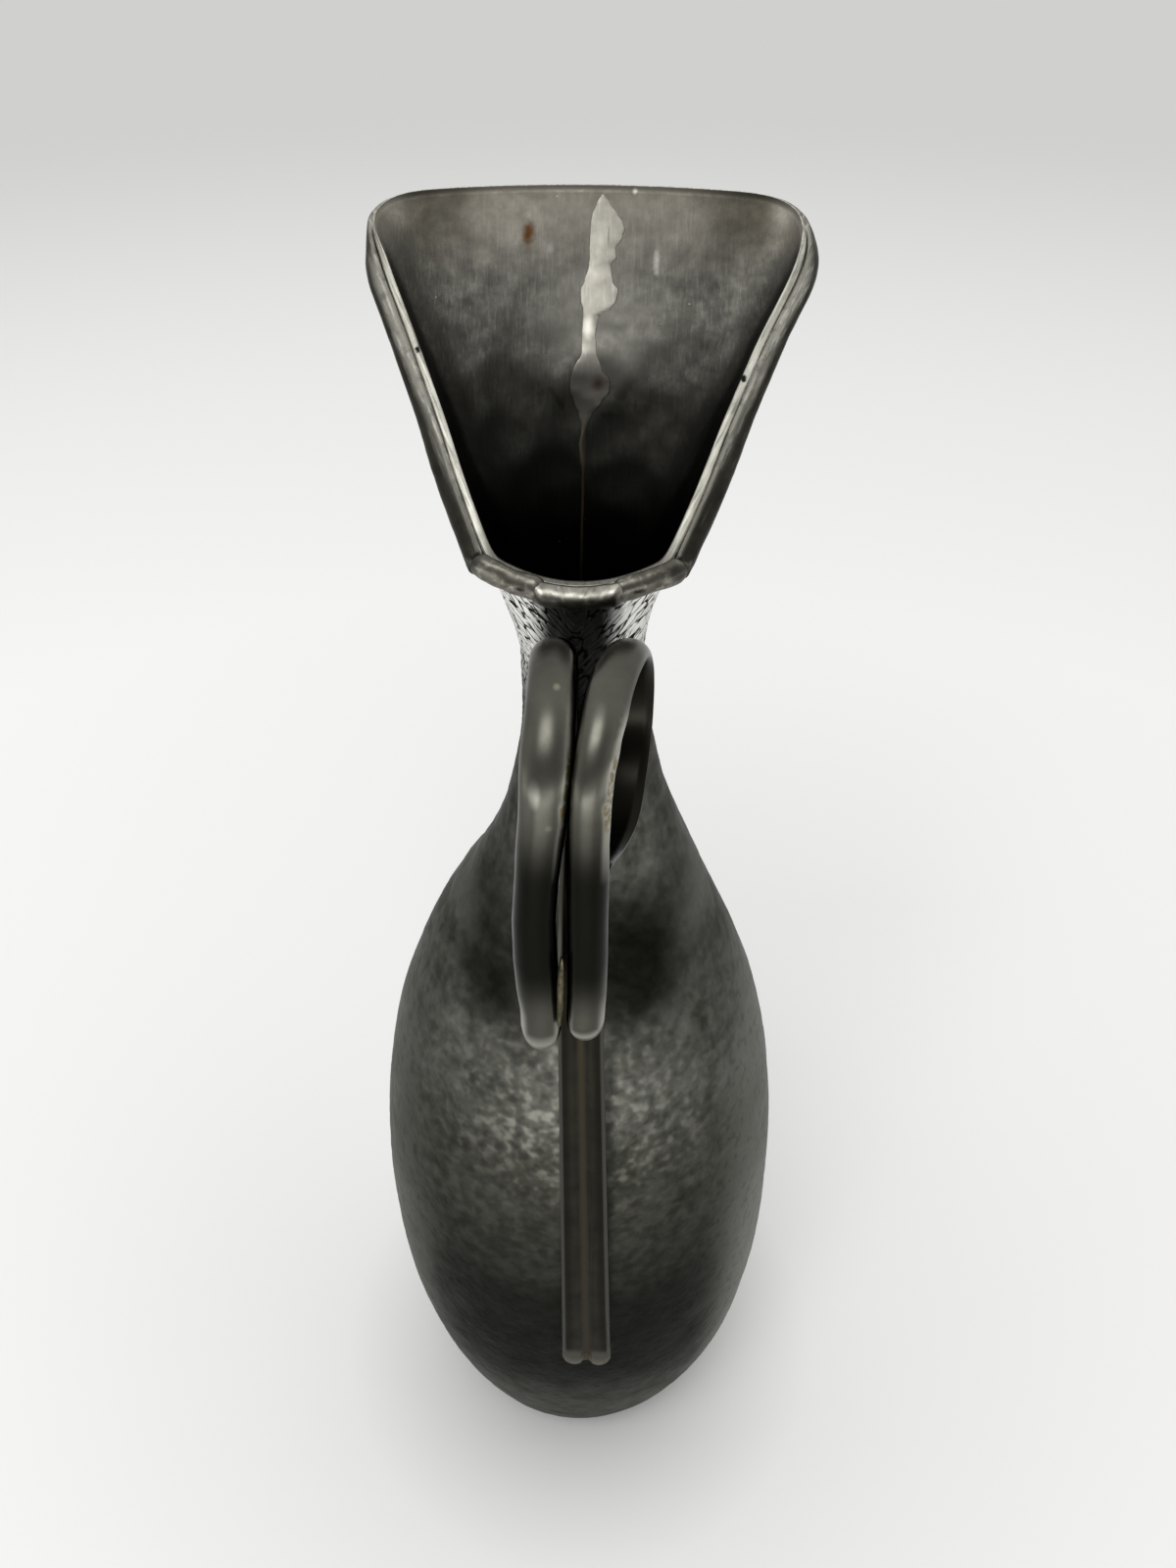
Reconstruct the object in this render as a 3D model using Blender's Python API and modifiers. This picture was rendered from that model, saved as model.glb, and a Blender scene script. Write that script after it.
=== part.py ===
"""Hammered pewter ewer: one sheet from foot to spout, a wired rim and a scrolled strap handle.

Metres, +Z up. The origin is the centre of the underside, the spout points to +Y and the
handle to -Y. Each soldered piece is a solid of its own, a joint gap away from its neighbours.
"""

import math

import bmesh
import bpy
from mathutils import Vector

# Sheet and joints
SHEET = 0.0014
JOINT_GAP = 0.0003

# Foot, belly, shoulder and neck of the turned part, with the slope of the wall where it isn't upright
FOOT_R = 0.0290
FOOT_SLOPE = 0.55
BELLY_R = 0.0470
BELLY_Z = 0.0800
SHOULDER_R = 0.0335
SHOULDER_Z = 0.1600
SHOULDER_SLOPE = -0.425
NECK_R = 0.0109
NECK_Z = 0.2320

# Mouth: its outline seen from above, on a plane that rises from the back to the lip
LIP_Y = 0.0420
LIP_Z = 0.2995
LIP_CORNER_X = 0.0409
LIP_CORNER_Y = 0.0398
LIP_CORNER_TRIM = 0.0120
MOUTH_CORNER_X = 0.0150
MOUTH_CORNER_Y = -0.0115
MOUTH_BACK_Y = -0.0150
MOUTH_BACK_Z = 0.2535
MOUTH_SHIFT_X = 0.0004
NECK_PULL = 0.85
MOUTH_PULL = 1.15

# Base disc and its solder
BASE_T = 0.0016
BASE_INSET = 0.0004
BASE_EDGE = 0.0004
BASE_FILLET = 0.0030

# Solder run inside the front seam. Its swellings are given by height up the spout, offset to the right
# and width, the last two as shares of the widest swelling
SEAM_T = 0.0006
SEAM_W = 0.0072
SEAM_LINE_W = 0.0010
SEAM_END_Z = 0.2080
SEAM_RUN = (
    (0.975, 0.21, 0.17),
    (0.900, 0.35, 0.83),
    (0.850, 0.29, 0.69),
    (0.780, 0.18, 0.92),
    (0.700, 0.01, 0.40),
    (0.600, 0.06, 1.00),
    (0.530, -0.03, 0.28),
    (0.400, -0.07, SEAM_LINE_W / SEAM_W),
    (0.000, 0.00, SEAM_LINE_W / SEAM_W),
)

# Half-round rim wires and the solder that fills the two back corners
LIP_WIRE_W = 0.0040
LIP_WIRE_H = 0.0026
BACK_WIRE_W = 0.0036
BACK_WIRE_H = 0.0022
CORNER_W = 0.0038
CORNER_H = 0.0019
CORNER_SIDE_LAP = 0.0010
CORNER_BACK_LAP = 0.0070

# Handle spine: a tapered strap with a groove down its back
SPINE_FOOT_X = 0.0036
SPINE_BEND_X = 0.0021
SPINE_T = 0.0030
SPINE_FOOT_W = 0.0109
SPINE_HEAD_W = 0.0075
SPINE_EDGE = 0.0008
GROOVE_W = 0.0028
GROOVE_DEPTH = 0.0006
SPINE_FOOT_Z = 0.0740
KICK_R = 0.0080
KICK_ANGLE = math.radians(25)
BEND_R = 0.0240

# Two half-round scrolls on the back of the spine
SCROLL_W = 0.0070
SCROLL_TIP_W = 0.0048
SCROLL_H = 0.0028
SCROLL_GAP = 0.0008
SCROLL_MID_X = -0.0005
LEFT_SCROLL_TILT = math.radians(1.2)
SCROLL_TURN = math.radians(5)
SCROLL_SPLAY = math.radians(4)
SCROLL_SEAT_Z = 0.1922
CURL_R = 0.0055
STEM_LEAN = math.radians(8)
STEM_L = 0.0398
LOOP_R = 0.0152
LOOP_TAIL_TURN = math.radians(30)

# Solder along the groove between the stems, under the spine's foot and round its head
STEM_SOLDER_R = 0.0007
STEM_SOLDER_L = 0.0150
FOOT_SOLDER_H = 0.0035
FOOT_SOLDER_OUT = 0.0012
HEAD_SOLDER_RIM = 0.0014
HEAD_SOLDER_L = 0.0012

# Facets
FRONT_COLS = 5
CORNER_COLS = 4
SIDE_COLS = 8
BACK_COLS = 7
HALF_COLS = FRONT_COLS + CORNER_COLS + SIDE_COLS + BACK_COLS
COLS = 2 * HALF_COLS
BODY_ROWS = 22
SPOUT_ROWS = 8
BEND_STEP = math.radians(9)

PARTS = "ewer"
CUTTERS = "ewer_cutters"


def start_scene():
    """Empty the scene and make one collection for the parts and one for the cutters."""
    for item in list(bpy.data.objects):
        bpy.data.objects.remove(item, do_unlink=True)
    for name in (PARTS, CUTTERS):
        bpy.context.scene.collection.children.link(bpy.data.collections.new(name))


def make_material(name, colour, roughness):
    """Metal of one colour and gloss."""
    material = bpy.data.materials.new(name)
    material.use_nodes = True
    shader = material.node_tree.nodes["Principled BSDF"]
    shader.inputs["Base Color"].default_value = (*colour, 1.0)
    shader.inputs["Metallic"].default_value = 1.0
    shader.inputs["Roughness"].default_value = roughness
    return material


def add_object(name, bm, colour, roughness, collection=PARTS):
    """Turn a bmesh into a smooth-shaded object with its own material."""
    mesh = bpy.data.meshes.new(name)
    bm.to_mesh(mesh)
    bm.free()
    mesh.shade_smooth()
    mesh.set_sharp_from_angle(angle=math.radians(35))
    mesh.materials.append(make_material(name, colour, roughness))
    obj = bpy.data.objects.new(name, mesh)
    bpy.data.collections[collection].objects.link(obj)
    return obj


def add_cutter(name, bm):
    """Tool body that is only subtracted from a part."""
    cutter = add_object(name, bm, (1.0, 0.3, 0.1), 0.5, CUTTERS)
    cutter.hide_render = True
    cutter.display_type = "WIRE"
    return cutter


def subtract(obj, cutter):
    """Cut one body out of another."""
    cut = obj.modifiers.new(cutter.name, "BOOLEAN")
    cut.operation = "DIFFERENCE"
    cut.object = cutter


def loft(sections, capped=True):
    """Skin through closed sections of equal point count, with both ends capped or left open."""
    bm = bmesh.new()
    rings = [[bm.verts.new(point) for point in section] for section in sections]
    count = len(rings[0])
    for lower, upper in zip(rings, rings[1:]):
        for i in range(count):
            j = (i + 1) % count
            bm.faces.new((lower[i], lower[j], upper[j], upper[i]))
    if capped:
        bm.faces.new(rings[0])
        bm.faces.new(rings[-1])
        bmesh.ops.recalc_face_normals(bm, faces=bm.faces)
    return bm


def hermite(start, start_slope, end, end_slope, s):
    """Cubic between two values or vectors with the given slopes over the whole span."""
    s2 = s * s
    s3 = s2 * s
    return (start * (2 * s3 - 3 * s2 + 1) + start_slope * (s3 - 2 * s2 + s)
            + end * (3 * s2 - 2 * s3) + end_slope * (s3 - s2))


def body_radius(z):
    """Outer radius of the turned part: foot to belly, belly to shoulder, shoulder to neck."""
    stations = (
        (0.0, FOOT_R, FOOT_SLOPE),
        (BELLY_Z, BELLY_R, 0.0),
        (SHOULDER_Z, SHOULDER_R, SHOULDER_SLOPE),
        (NECK_Z, NECK_R, 0.0),
    )
    for low, high in zip(stations, stations[1:]):
        if z <= high[0]:
            break
    span = high[0] - low[0]
    return hermite(low[1], low[2] * span, high[1], high[2] * span, (z - low[0]) / span)


def mouth_half(h):
    """Half of the mouth's outline from above: front, round corner, straight side, back arc."""
    front_x = LIP_CORNER_X - LIP_CORNER_TRIM

    def front_y(x):
        return LIP_Y - (LIP_Y - LIP_CORNER_Y) * (x / LIP_CORNER_X) ** 2

    corner = Vector((LIP_CORNER_X, LIP_CORNER_Y))
    back_corner = Vector((MOUTH_CORNER_X, MOUTH_CORNER_Y))
    side_start = corner + (back_corner - corner).normalized() * LIP_CORNER_TRIM
    if h <= FRONT_COLS:
        x = front_x * h / FRONT_COLS
        return Vector((x, front_y(x)))
    h -= FRONT_COLS
    if h <= CORNER_COLS:
        s = h / CORNER_COLS
        front_end = Vector((front_x, front_y(front_x)))
        return front_end * (1 - s) ** 2 + corner * 2 * s * (1 - s) + side_start * s * s
    h -= CORNER_COLS
    if h <= SIDE_COLS:
        return side_start.lerp(back_corner, h / SIDE_COLS)
    x = MOUTH_CORNER_X * (1 - (h - SIDE_COLS) / BACK_COLS)
    return Vector((x, MOUTH_BACK_Y + (MOUTH_CORNER_Y - MOUTH_BACK_Y) * (x / MOUTH_CORNER_X) ** 2))


def mouth_point(col):
    """Mouth edge at a column, counted from the front centre round by the left side."""
    col %= COLS
    plan = mouth_half(min(col, COLS - col))
    x = -plan.x if col < HALF_COLS else plan.x
    rise = (LIP_Z - MOUTH_BACK_Z) / (LIP_Y - MOUTH_BACK_Y)
    return Vector((x + MOUTH_SHIFT_X, plan.y, MOUTH_BACK_Z + (plan.y - MOUTH_BACK_Y) * rise))


def ring_point(col, radius, z):
    """Point of a level circle at a column."""
    angle = math.tau * col / COLS
    return Vector((-radius * math.sin(angle), radius * math.cos(angle), z))


def spout_point(col, t):
    """Outer face of the spout, upright at the neck (t = 0) and flared at the mouth (t = 1)."""
    neck = ring_point(col, NECK_R, NECK_Z)
    edge = mouth_point(col)
    way = edge - neck
    return hermite(neck, Vector((0, 0, way.z * NECK_PULL)), edge, way * MOUTH_PULL, t)


def spout_frame(col, t):
    """Point of the spout with its outward normal and the direction up the wall."""
    step = 0.02
    along = spout_point(col + step, t) - spout_point(col - step, t)
    up = spout_point(col, t + step) - spout_point(col, t - step)
    normal = along.cross(up).normalized()
    return spout_point(col, t), normal, up.normalized()


def body_rings(low, high, offset=0.0):
    """Rings of the turned part between two rows, at an offset out from its outer face."""
    foot_z = BASE_T + JOINT_GAP
    rings = []
    for row in range(low, high + 1):
        z = foot_z + (NECK_Z - foot_z) * row / BODY_ROWS
        rings.append([ring_point(col, body_radius(z) + offset, z) for col in range(COLS)])
    return rings


def build_body_shell():
    """One raised sheet: the turned belly and neck run on into the flared spout."""
    sections = body_rings(0, BODY_ROWS)
    for row in range(1, SPOUT_ROWS + 1):
        sections.append([spout_point(col, row / SPOUT_ROWS) for col in range(COLS)])
    shell = add_object("body_shell", loft(sections, capped=False), (0.13, 0.13, 0.125), 0.42)
    wall = shell.modifiers.new("sheet", "SOLIDIFY")
    wall.thickness = SHEET
    wall.offset = -1
    wall.use_even_offset = True


def build_base_disc():
    """Flat disc under the foot, a little inside the outer face of the sheet that stands on it."""
    radius = body_radius(BASE_T) - BASE_INSET
    bm = bmesh.new()
    bmesh.ops.create_cone(bm, cap_ends=True, segments=COLS, radius1=radius, radius2=radius, depth=BASE_T)
    bmesh.ops.translate(bm, verts=bm.verts, vec=(0, 0, BASE_T / 2))
    disc = add_object("base_disc", bm, (0.13, 0.13, 0.125), 0.45)
    edge = disc.modifiers.new("worn_edge", "BEVEL")
    edge.width = BASE_EDGE
    edge.segments = 2
    edge.limit_method = "ANGLE"


def build_base_solder():
    """Ring of solder in the inside corner between the base disc and the sheet."""
    floor_z = BASE_T + JOINT_GAP
    top_z = floor_z + BASE_FILLET

    def inner(z):
        slope = (body_radius(z + SHEET) - body_radius(z)) / SHEET
        return body_radius(z) - SHEET * math.hypot(1, slope) - JOINT_GAP * 2

    bm = bmesh.new()
    profile = [(inner(top_z), top_z), (inner(floor_z), floor_z), (inner(floor_z) - BASE_FILLET, floor_z)]
    verts = [bm.verts.new((r, 0, z)) for r, z in profile]
    for i in range(len(verts)):
        bm.edges.new((verts[i], verts[(i + 1) % len(verts)]))
    ring = add_object("base_solder", bm, (0.30, 0.29, 0.27), 0.35)
    turn = ring.modifiers.new("turn", "SCREW")
    turn.steps = COLS
    turn.render_steps = COLS
    turn.use_merge_vertices = True
    turn.merge_threshold = 0.00001


def seam_section(t, centre, width):
    """Low bead of solder across the inner face of the front wall."""
    pitch = spout_point(-1, t).x - spout_point(0, t).x
    wall = []
    crown = []
    for share in (-1, -0.5, 0, 0.5, 1):
        col = -(centre + share * width / 2) * SEAM_W / pitch
        point, normal, _ = spout_frame(col, t)
        face = point - normal * (SHEET + JOINT_GAP)
        wall.append(face)
        if abs(share) < 1:
            crown.append(face - normal * SEAM_T * (1 - share * share))
    return wall + crown[::-1]


def build_front_seam_solder():
    """Run of solder down the inside of the front seam: swellings under the lip, a thin line in the neck."""
    sections = []
    steps = 4
    for high, low in zip(SEAM_RUN, SEAM_RUN[1:]):
        for i in range(steps):
            s = i / steps
            ease = s * s * (3 - 2 * s)
            t = high[0] + (low[0] - high[0]) * s
            centre = high[1] + (low[1] - high[1]) * ease
            width = high[2] + (low[2] - high[2]) * ease
            sections.append(seam_section(t, centre, width))
    bottom = seam_section(*SEAM_RUN[-1])
    sections.append(bottom)
    for z in ((NECK_Z + SEAM_END_Z) / 2, SEAM_END_Z):
        shift = Vector((0, body_radius(z) - NECK_R - JOINT_GAP, z - NECK_Z))
        sections.append([point + shift for point in bottom])
    add_object("front_seam_solder", loft(sections), (0.45, 0.44, 0.41), 0.30)


def rim_lengths():
    """Distance along the half mouth edge from the front centre, at eighths of a column."""
    lengths = [0.0]
    for i in range(8 * HALF_COLS):
        lengths.append(lengths[-1] + (mouth_point((i + 1) / 8) - mouth_point(i / 8)).length)
    return lengths


def rim_column(distance):
    """Column at a distance along the mouth edge from the front centre."""
    lengths = rim_lengths()
    for i in range(len(lengths) - 1):
        if distance <= lengths[i + 1]:
            break
    return (i + (distance - lengths[i]) / (lengths[i + 1] - lengths[i])) / 8


def build_rim_piece(name, start, end, width, height, colour, roughness):
    """Half-round strip on the outside of the mouth edge between two columns, flush with the edge."""
    halves = range(math.floor(start * 2) + 1, math.ceil(end * 2))
    sections = []
    for col in [start] + [half / 2 for half in halves] + [end]:
        edge, normal, up = spout_frame(col, 1)
        centre = edge + normal * JOINT_GAP - up * width / 2
        arc = [math.pi * i / 6 for i in range(7)]
        sections.append([centre + up * math.cos(a) * width / 2 + normal * math.sin(a) * height for a in arc])
    add_object(name, loft(sections), colour, roughness)


def build_rim():
    """Lip wire round the sides and front, short back wire, and solder filling the corners between."""
    kink = rim_lengths()[8 * (HALF_COLS - BACK_COLS)]
    lip_end = rim_column(kink - CORNER_SIDE_LAP)
    solder_start = rim_column(kink - CORNER_SIDE_LAP + JOINT_GAP)
    solder_end = rim_column(kink + CORNER_BACK_LAP)
    back_start = rim_column(kink + CORNER_BACK_LAP + JOINT_GAP)
    worn = (0.26, 0.26, 0.24)
    build_rim_piece("lip_rim_wire", -lip_end, lip_end, LIP_WIRE_W, LIP_WIRE_H, worn, 0.38)
    build_rim_piece("back_rim_wire", back_start, COLS - back_start, BACK_WIRE_W, BACK_WIRE_H, worn, 0.36)
    for side, start, end in (
        ("left", solder_start, solder_end),
        ("right", COLS - solder_end, COLS - solder_start),
    ):
        name = "corner_solder_" + side
        build_rim_piece(name, start, end, CORNER_W, CORNER_H, (0.34, 0.33, 0.31), 0.34)


class BentStrip:
    """Path of a strip bent in the upright plane of the handle: points with their outer normals."""

    def __init__(self, y, z, heading):
        self.place = Vector((y, z))
        self.heading = heading
        self.stations = []
        self.mark()

    def mark(self):
        outward = Vector((-math.sin(self.heading), math.cos(self.heading)))
        self.stations.append((self.place.copy(), outward))

    def straight(self, length, steps=1):
        for _ in range(steps):
            self.place += Vector((math.cos(self.heading), math.sin(self.heading))) * length / steps
            self.mark()

    def bend(self, radius, angle):
        """Turn by an angle, to the left where it is positive, in short chords."""
        steps = max(2, round(abs(angle) / BEND_STEP))
        side = math.copysign(1.0, angle)
        normal = Vector((-math.sin(self.heading), math.cos(self.heading)))
        centre = self.place + normal * radius * side
        for _ in range(steps):
            self.heading += angle / steps
            normal = Vector((-math.sin(self.heading), math.cos(self.heading)))
            self.place = centre - normal * radius * side
            self.mark()


def spine_y():
    """Middle of the strap where it stands upright, against the belly at its widest."""
    return -(BELLY_R + JOINT_GAP + SPINE_T / 2)


def scroll_seat_y():
    """Seat of the scrolls on the back face of the spine."""
    return spine_y() - SPINE_T / 2 - JOINT_GAP


def scroll_path():
    """Flat inner face of a scroll: curl on the spine, stem, full loop and tail against the stem.

    Returns the bent strip, the index of the stem's lower end and the centre of the loop.
    """
    path = BentStrip(scroll_seat_y(), SCROLL_SEAT_Z, math.pi)
    path.bend(CURL_R, -(math.pi / 2 + STEM_LEAN))
    stem = len(path.stations) - 1
    path.straight(STEM_L, 6)
    stem_top = path.place.copy()
    stem_side = Vector((math.cos(STEM_LEAN), -math.sin(STEM_LEAN)))
    path.bend(LOOP_R, -(math.pi * 3 / 2 - STEM_LEAN + LOOP_TAIL_TURN))
    heading = Vector((math.cos(path.heading), math.sin(path.heading)))
    outer_edge = path.place + Vector((-heading.y, heading.x)) * SCROLL_H
    room = min((path.place - stem_top).dot(stem_side), (outer_edge - stem_top).dot(stem_side))
    path.straight((room - JOINT_GAP) / -heading.dot(stem_side), 2)
    return path, stem, stem_top + stem_side * LOOP_R


def half_round(width, height):
    """Section of a half-round strip: across its width, and out from its flat face."""
    arc = [math.pi * i / 8 for i in range(9)]
    return [(math.cos(a) * width / 2, math.sin(a) * height) for a in arc]


def scroll_back_y(path):
    """Rearmost point of the stems, where the two scrolls stand closest together."""
    return min(place.x + outward.x * SCROLL_H for place, outward in path.stations)


def build_scrolls():
    """Left and right scroll with narrowed curls, close at the stems and splayed apart at the loops."""
    path, stem, _ = scroll_path()
    back_y = scroll_back_y(path)
    for side, sign, tilt in (("left", -1, math.tan(LEFT_SCROLL_TILT)), ("right", 1, 0.0)):
        stem_x = SCROLL_MID_X + sign * (SCROLL_W + SCROLL_GAP) / 2
        yaw = math.tan(SCROLL_TURN + sign * SCROLL_SPLAY)
        sections = []
        for i, (place, outward) in enumerate(path.stations):
            width = SCROLL_TIP_W + (SCROLL_W - SCROLL_TIP_W) * min(i / stem, 1.0)
            section = []
            for across, out in half_round(width, SCROLL_H):
                y, z = place + outward * out
                x = stem_x + (y - back_y) * yaw + (z - SCROLL_SEAT_Z) * tilt + across
                section.append(Vector((x, y, z)))
            sections.append(section)
        add_object("scroll_" + side, loft(sections), (0.17, 0.17, 0.155), 0.30)


def spine_section(width, grow=0.0):
    """Strap section: flat inside, softened back edges and a groove down the middle of the back."""
    half = width / 2 + grow
    back = SPINE_T / 2 + grow
    groove = GROOVE_W / 2
    return [
        (-half, -back),
        (half, -back),
        (half, back - SPINE_EDGE),
        (half - SPINE_EDGE, back),
        (groove, back),
        (groove / 2, back - GROOVE_DEPTH * 0.75),
        (0.0, back - GROOVE_DEPTH),
        (-groove / 2, back - GROOVE_DEPTH * 0.75),
        (-groove, back),
        (-half + SPINE_EDGE, back),
        (-half, back - SPINE_EDGE),
    ]


def spine_bend_z():
    """Height where the spine starts to bend in, so that the right loop rests on the bend."""
    _, _, loop_centre = scroll_path()
    reach = LOOP_R + SCROLL_H + JOINT_GAP + BEND_R + SPINE_T / 2
    bend_y = spine_y() + BEND_R
    return loop_centre.y - math.sqrt(reach ** 2 - (bend_y - loop_centre.x) ** 2)


def foot_y():
    """Middle of the strap at its foot, which is kicked out from the belly."""
    return spine_y() - KICK_R * (1 - math.cos(KICK_ANGLE))


def strap_rise(z):
    """Share of the way from the spine's foot up to its bend."""
    return min((z - SPINE_FOOT_Z) / (spine_bend_z() - SPINE_FOOT_Z), 1.0)


def strap_sections(stations, grow=0.0):
    """Spine sections square to the path: narrower and nearer the middle of the neck as it rises."""
    sections = []
    for place, outward in stations:
        rise = strap_rise(place.y)
        middle = SPINE_FOOT_X + (SPINE_BEND_X - SPINE_FOOT_X) * rise
        width = SPINE_FOOT_W + (SPINE_HEAD_W - SPINE_FOOT_W) * rise
        section = []
        for across, out in spine_section(width, grow):
            y, z = place + outward * out
            section.append(Vector((middle + across, y, z)))
        sections.append(section)
    return sections


def build_neck_cutter():
    """Upper half of the turned part with the joint gap round it, which saddles the spine's head."""
    return add_cutter("neck_saddle", loft(body_rings(BODY_ROWS // 2, BODY_ROWS, JOINT_GAP)))


def build_spine():
    """Strap from its kicked foot on the belly, up, and over in a bend to the back of the neck."""
    path = BentStrip(foot_y(), SPINE_FOOT_Z, math.pi / 2 - KICK_ANGLE)
    path.bend(KICK_R, KICK_ANGLE)
    upright = spine_bend_z() - path.place.y
    path.straight(upright, 10)
    path.bend(BEND_R, -math.pi / 2)
    head_z = path.place.y
    head_run = -path.place.x - body_radius(head_z)
    path.straight(head_run + SPINE_T, 3)
    spine = add_object("handle_spine", loft(strap_sections(path.stations)), (0.14, 0.14, 0.13), 0.36)
    neck = build_neck_cutter()
    subtract(spine, neck)

    low_z = head_z - SPINE_T / 2 - HEAD_SOLDER_RIM
    collar_y = -body_radius(low_z) - JOINT_GAP - HEAD_SOLDER_L
    collar_path = BentStrip(collar_y, head_z, 0.0)
    collar_path.straight(-collar_y)
    collar_skin = loft(strap_sections(collar_path.stations, HEAD_SOLDER_RIM))
    collar = add_object("spine_head_solder", collar_skin, (0.30, 0.29, 0.27), 0.38)
    bore_path = BentStrip(collar_y - SPINE_T, head_z, 0.0)
    bore_path.straight(-collar_y + SPINE_T * 2)
    bore = add_cutter("spine_head_bore", loft(strap_sections(bore_path.stations, JOINT_GAP)))
    subtract(collar, bore)
    subtract(collar, neck)


def build_foot_solder():
    """Fillet of solder that fills the angle between the spine's kicked foot and the belly."""
    heading = Vector((math.sin(KICK_ANGLE), math.cos(KICK_ANGLE)))
    square = Vector((heading.y, -heading.x))
    foot_end = Vector((foot_y(), SPINE_FOOT_Z)) - heading * JOINT_GAP
    inner_corner = foot_end + square * SPINE_T / 2
    outer = inner_corner - square * FOOT_SOLDER_OUT
    top_z = inner_corner.y
    low_z = top_z - FOOT_SOLDER_H
    sections = []
    steps = 6
    for i in range(steps + 1):
        x = SPINE_FOOT_X + (SPINE_FOOT_W - 2 * SPINE_EDGE) * (i / steps - 0.5)

        def belly(z):
            return -math.sqrt((body_radius(z) + JOINT_GAP) ** 2 - x * x)

        sections.append([
            Vector((x, belly(low_z), low_z)),
            Vector((x, belly(top_z), top_z)),
            Vector((x, inner_corner.x, top_z)),
            Vector((x, outer.x, outer.y)),
        ])
    add_object("spine_foot_solder", loft(sections), (0.30, 0.29, 0.27), 0.38)


def build_stem_solder():
    """Bead of solder in the groove between the two stems, above their curls."""
    path, stem, _ = scroll_path()
    foot, outward = path.stations[stem]
    climb = Vector((outward.y, -outward.x))
    back_y = scroll_back_y(path)
    curve = bpy.data.curves.new("stem_solder", "CURVE")
    curve.dimensions = "3D"
    curve.bevel_depth = STEM_SOLDER_R
    curve.bevel_resolution = 2
    curve.use_fill_caps = True
    spline = curve.splines.new("POLY")
    steps = 6
    spline.points.add(steps)
    for i, point in enumerate(spline.points):
        y, z = foot + outward * (SCROLL_H - STEM_SOLDER_R) + climb * STEM_SOLDER_L * i / steps
        x = SCROLL_MID_X + (y - back_y) * math.tan(SCROLL_TURN)
        x += (z - SCROLL_SEAT_Z) * math.tan(LEFT_SCROLL_TILT) / 2
        point.co = (x, y, z, 1)
    curve.materials.append(make_material("stem_solder", (0.30, 0.29, 0.26), 0.5))
    bead = bpy.data.objects.new("stem_solder", curve)
    bpy.data.collections[PARTS].objects.link(bead)


start_scene()
build_body_shell()
build_base_disc()
build_base_solder()
build_front_seam_solder()
build_rim()
build_spine()
build_foot_solder()
build_scrolls()
build_stem_solder()
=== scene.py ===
import math

import bpy
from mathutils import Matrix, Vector, noise


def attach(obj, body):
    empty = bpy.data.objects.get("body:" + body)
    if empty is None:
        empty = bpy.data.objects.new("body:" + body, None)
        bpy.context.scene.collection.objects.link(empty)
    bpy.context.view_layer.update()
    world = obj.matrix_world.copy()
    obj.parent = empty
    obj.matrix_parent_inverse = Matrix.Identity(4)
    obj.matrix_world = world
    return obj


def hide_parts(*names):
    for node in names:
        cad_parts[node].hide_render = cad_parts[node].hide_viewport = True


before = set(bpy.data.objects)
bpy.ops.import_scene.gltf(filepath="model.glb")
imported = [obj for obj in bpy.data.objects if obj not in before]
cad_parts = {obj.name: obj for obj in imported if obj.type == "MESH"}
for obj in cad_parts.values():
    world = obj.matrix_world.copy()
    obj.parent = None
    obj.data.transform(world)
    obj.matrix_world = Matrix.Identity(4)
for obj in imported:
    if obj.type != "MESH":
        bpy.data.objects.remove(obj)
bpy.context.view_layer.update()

MM = 0.001

# Camera. The ewer is seen from behind the handle and from above, close to, through a wide lens.
# The frame is 1200 by 1600, so the 36 mm sensor lies along its height.
camera_turn = math.radians(2.25)
camera_pitch = math.radians(38)
camera_back, camera_height = 180 * MM, 343 * MM
focal_pixels, frame_pixels, sensor = 1202, 1600, 36
camera_data = bpy.data.cameras.new("camera")
camera_data.lens = focal_pixels / frame_pixels * sensor
camera_data.sensor_width = sensor
camera_data.shift_x = 9 / frame_pixels
camera_data.clip_start = 10 * MM
camera = bpy.data.objects.new("camera", camera_data)
camera.location = (camera_back * math.sin(camera_turn), -camera_back * math.cos(camera_turn), camera_height)
camera.rotation_euler = (math.pi / 2 - camera_pitch, 0, camera_turn)
bpy.context.scene.collection.objects.link(camera)
bpy.context.scene.camera = camera
bpy.context.scene.view_settings.view_transform = "Standard"


# Floor and light. A sheet of pale paper that fades into a pale room, which is brighter overhead and dimmer
# behind the camera. There one soft lamp stands high up, and three stand low down.
def linear(code):
    """Linear colour of an sRGB hex value."""
    parts = [int(code[i:i + 2], 16) / 255 for i in (1, 3, 5)]
    return (*[p / 12.92 if p <= 0.04045 else ((p + 0.055) / 1.055) ** 2.4 for p in parts], 1.0)


def add_node(tree, kind, inputs=None, **settings):
    """Adds a node, sets its properties, and fills its sockets with values or links."""
    node = tree.nodes.new(kind)
    for name, value in settings.items():
        setattr(node, name, value)
    for key, value in (inputs or {}).items():
        if isinstance(value, bpy.types.NodeSocket):
            tree.links.new(value, node.inputs[key])
        else:
            node.inputs[key].default_value = value
    return node


def new_material(name):
    """Empty material tree with its output."""
    material = bpy.data.materials.new(name)
    material.use_nodes = True
    material.node_tree.nodes.clear()
    output = add_node(material.node_tree, "ShaderNodeOutputMaterial")
    return material, material.node_tree, output


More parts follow.
